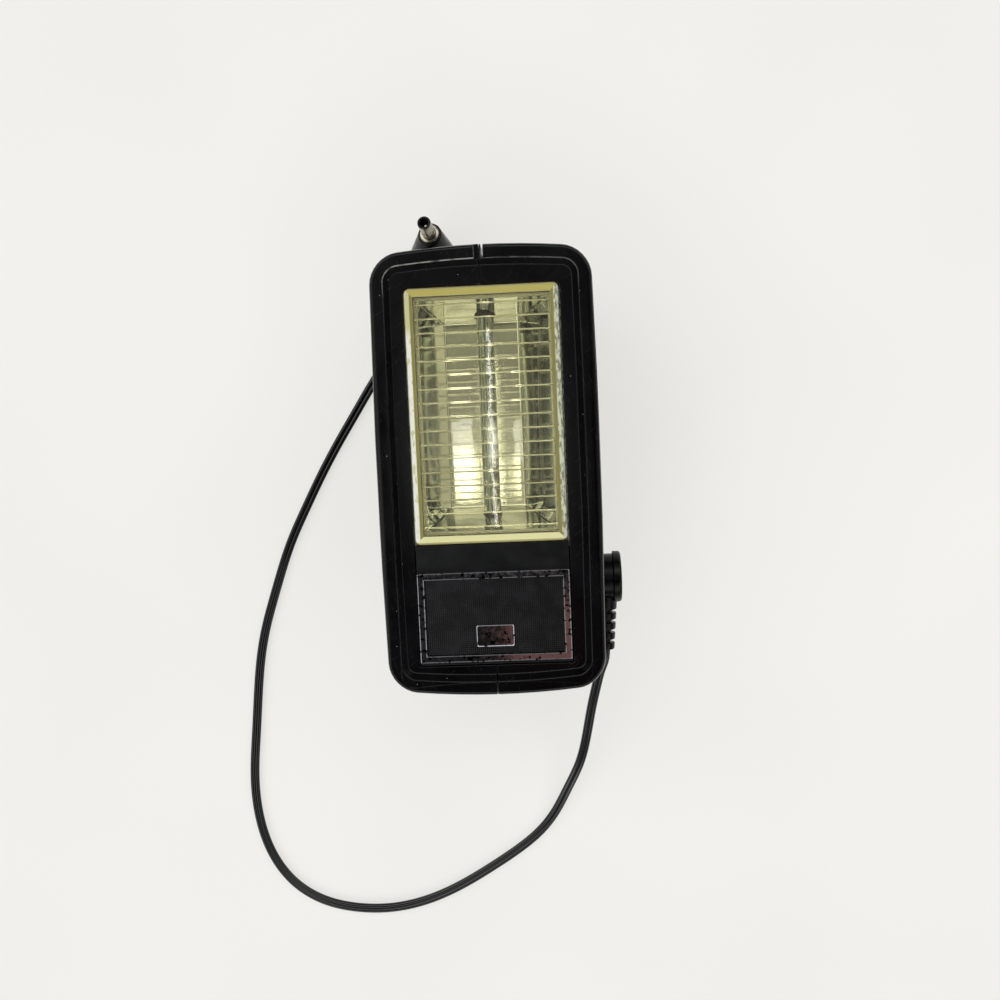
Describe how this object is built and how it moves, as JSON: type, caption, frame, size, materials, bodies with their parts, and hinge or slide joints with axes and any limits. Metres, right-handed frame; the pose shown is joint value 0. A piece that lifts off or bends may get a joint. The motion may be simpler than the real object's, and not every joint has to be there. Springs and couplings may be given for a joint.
{
  "type": "shoe mount flash",
  "caption": "Compact shoe mount electronic flash with a ribbed window, rear exposure dial, sliding battery door and a plug-in sync cord.",
  "frame": {"origin": "on the surface that the flash lies on, under the middle of its front frame, level with its back", "axes": "+Z the way the light goes, +Y to the flash's top end, +X to its right side seen from the front"},
  "size_m": [0.1068, 0.1932, 0.0403],
  "materials": {
    "shell_abs": "satin moulded, fine scratches",
    "panel_abs": "fine matt texture",
    "lens_polycarbonate": "clear, yellowed with age",
    "bright_chrome": "bright plated",
    "insert_black": "fine cross-hatched",
    "reflector_aluminium": "bright rolled sheet",
    "tube_glass": "clear",
    "steel": "plated",
    "silicone": "soft",
    "copper": "bare wire",
    "board_laminate": "paper laminate",
    "capacitor_can": "dark sleeve",
    "ferrite": "matt",
    "tape_yellow": "wound tape",
    "dipped_brown": "dipped",
    "epoxy_black": "moulded",
    "resistor_tan": "lacquered",
    "film_red": "dipped",
    "lamp_glass": "clear",
    "ready_amber": "clear amber",
    "switch_black": "moulded",
    "knob_grey": "ridged",
    "button_red": "moulded",
    "brass_plate": "plated",
    "tray_abs": "moulded",
    "cell_wrap": null,
    "scale_silver": "brushed",
    "dial_black": "printed",
    "cord_pvc": "satin",
    "plug_pvc": "satin moulded",
    "plug_steel": "nickel plated"
  },
  "bodies": {
    "housing": {"left_shell": "shell_abs", "right_shell": "shell_abs", "window_lens": "lens_polycarbonate", "front_panel": "panel_abs", "nameplate_frame": "bright_chrome", "nameplate_insert": "insert_black", "nameplate_badge": "bright_chrome", "reflector": "reflector_aluminium", "flash_tube": "tube_glass", "tube_electrodes": "steel", "tube_grommets": "silicone", "trigger_wire": "copper", "circuit_board": "board_laminate", "flash_capacitor": "capacitor_can", "transformer_core": "ferrite", "transformer_winding": "tape_yellow", "trigger_coil": "dipped_brown", "oscillator_transistor": "epoxy_black", "board_resistors": "resistor_tan", "trigger_capacitor": "film_red", "neon_lamp": "lamp_glass", "ready_lens": "ready_amber", "switch_body": "switch_black", "button_leaf": "brass_plate", "battery_tray": "tray_abs", "battery_cell_left": "cell_wrap", "battery_cell_right": "cell_wrap", "battery_link": "steel", "battery_contacts": "steel", "shoe_foot": "shell_abs", "foot_screws": "steel", "contact_washer": "steel", "case_screws": "steel", "scale_ring": "scale_silver", "dial_rivet": "steel", "sync_jack": "switch_black"},
    "switch": {"switch_knob": "knob_grey"},
    "button": {"test_button": "button_red"},
    "door": {"battery_door": "shell_abs"},
    "contact": {"shoe_contact": "brass_plate"},
    "dial": {"calculator_dial": "dial_black"},
    "sync_lead": {"sync_plug_body": "plug_pvc", "sync_plug_sleeve": "plug_steel", "sync_plug_insulator": "epoxy_black", "sync_plug_tip": "plug_steel", "sync_cord": "cord_pvc", "pc_plug_body": "plug_pvc", "pc_plug_collar": "plug_steel", "pc_plug_sleeve": "plug_steel", "pc_plug_insulator": "epoxy_black", "pc_plug_pin": "brass_plate"}
  },
  "joints": [
    {"name": "switch_slide", "type": "slide", "parent": "housing", "child": "switch", "axis": [0, 1, 0], "range_m": [0, 0.004]},
    {"name": "test_press", "type": "slide", "parent": "housing", "child": "button", "axis": [0, -0.2079, 0.9781], "range_m": [0, 0.0009], "stiffness_N_per_m": 600, "springref_m": -0.0004},
    {"name": "dial_turn", "type": "hinge", "parent": "housing", "child": "dial", "pos_m": [0, 0.02414, 0.00343], "axis": [0, 0.2079, -0.9781], "continuous": true},
    {"name": "door_slide", "type": "slide", "parent": "housing", "child": "door", "axis": [0, -1, 0], "range_m": [0, 0.04]},
    {"name": "contact_press", "type": "slide", "parent": "housing", "child": "contact", "axis": [0, 1, 0], "range_m": [0, 0.0005], "stiffness_N_per_m": 800, "springref_m": -0.0004},
    {"name": "sync_unplug", "type": "slide", "parent": "housing", "child": "sync_lead", "axis": [1, 0, 0], "range_m": [0, 0.012]}
  ]
}
